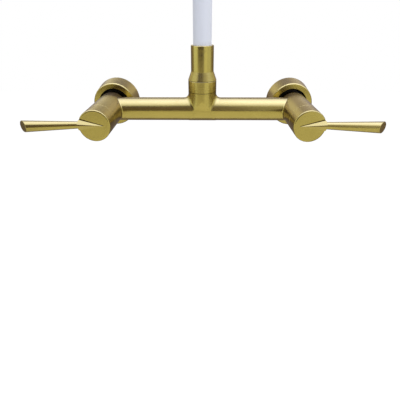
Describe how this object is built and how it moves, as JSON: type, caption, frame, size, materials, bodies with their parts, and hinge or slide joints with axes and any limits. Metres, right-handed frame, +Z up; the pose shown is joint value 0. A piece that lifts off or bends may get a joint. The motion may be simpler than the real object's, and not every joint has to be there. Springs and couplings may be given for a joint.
{
  "type": "pre-rinse faucet",
  "caption": "Wall-mounted bridge faucet with lever handles, swivelling sleeved gooseneck and squeeze-lever spray head",
  "frame": {"origin": "on the wall's surface, midway between the two supply inlets", "axes": "+X to the right as the user faces the wall, +Y into the wall, +Z up"},
  "size_m": [0.3474, 0.2668, 0.3979],
  "materials": {
    "satin_gold": "brushed satin gold",
    "raw_brass": "machined",
    "sleeve_white": "smooth matte silicone",
    "core_steel": "wound steel",
    "tube_clear": "extruded",
    "slip_plastic": "moulded",
    "pin_steel": "machined",
    "plate_steel": "fine brushed",
    "seal_rubber": "moulded",
    "bumper_rubber": "moulded, matte",
    "disc_ceramic": "lapped"
  },
  "bodies": {
    "base": {"bridge_tube": "satin_gold", "swivel_collar": "satin_gold", "swivel_washer": "slip_plastic", "left_wall_flange": "satin_gold", "left_inlet_union": "raw_brass", "left_union_nut": "raw_brass", "left_union_washer": "seal_rubber", "left_valve_body": "satin_gold", "left_cartridge_seal": "seal_rubber", "left_fixed_disc": "disc_ceramic", "left_cartridge_housing": "raw_brass", "left_stem_seal": "seal_rubber", "right_wall_flange": "satin_gold", "right_inlet_union": "raw_brass", "right_union_nut": "raw_brass", "right_union_washer": "seal_rubber", "right_valve_body": "satin_gold", "right_cartridge_seal": "seal_rubber", "right_fixed_disc": "disc_ceramic", "right_cartridge_housing": "raw_brass", "right_stem_seal": "seal_rubber"},
    "left_handle": {"left_handle_hub": "satin_gold", "left_handle_lever": "satin_gold", "left_handle_set_screw": "pin_steel", "left_cartridge_stem": "raw_brass", "left_stem_clip": "pin_steel", "left_moving_disc": "disc_ceramic"},
    "right_handle": {"right_handle_hub": "satin_gold", "right_handle_lever": "satin_gold", "right_handle_set_screw": "pin_steel", "right_cartridge_stem": "raw_brass", "right_stem_clip": "pin_steel", "right_moving_disc": "disc_ceramic"},
    "spout": {"riser_socket": "satin_gold", "socket_set_screw": "pin_steel", "swivel_o_rings": "seal_rubber", "snap_ring": "pin_steel", "hose_sleeve": "sleeve_white", "gooseneck_core": "core_steel", "water_tube": "tube_clear", "hose_end_fitting": "satin_gold", "spray_swivel_o_ring": "seal_rubber"},
    "spray_head": {"spray_body": "satin_gold", "plunger_gland": "satin_gold", "spray_plate": "plate_steel", "bumper_ring": "bumper_rubber", "lever_pin": "pin_steel", "plunger_spring": "pin_steel"},
    "squeeze": {"squeeze_lever": "satin_gold"},
    "plunger": {"valve_plunger": "pin_steel", "plunger_seal": "seal_rubber"}
  },
  "joints": [
    {"name": "left_handle_turn", "type": "hinge", "parent": "base", "child": "left_handle", "pos_m": [-0.1016, -0.095, 0.004], "axis": [0, -1, 0], "range_deg": [0, 90]},
    {"name": "right_handle_turn", "type": "hinge", "parent": "base", "child": "right_handle", "pos_m": [0.1016, -0.095, 0.004], "axis": [0, 1, 0], "range_deg": [0, 90]},
    {"name": "spout_swivel", "type": "hinge", "parent": "base", "child": "spout", "pos_m": [0, -0.044, 0.036], "axis": [0, 0, 1], "range_deg": [-90, 90]},
    {"name": "spray_swivel", "type": "hinge", "parent": "spout", "child": "spray_head", "pos_m": [0, -0.22, 0.25], "axis": [0, 0, 1], "continuous": true},
    {"name": "squeeze_turn", "type": "hinge", "parent": "spray_head", "child": "squeeze", "pos_m": [0, -0.242, 0.178], "axis": [-1, 0, 0], "range_deg": [0, 10.4], "stiffness_Nm_per_rad": 1.2, "springref_deg": -6.88},
    {"name": "plunger_slide", "type": "slide", "parent": "spray_head", "child": "plunger", "axis": [0, 1, 0], "range_m": [0, 0.004], "deforming": ["plunger_spring"]}
  ],
  "couplings": [
    {"joint": "plunger_slide", "follows": "squeeze_turn", "m_per_rad": 0.02195}
  ]
}
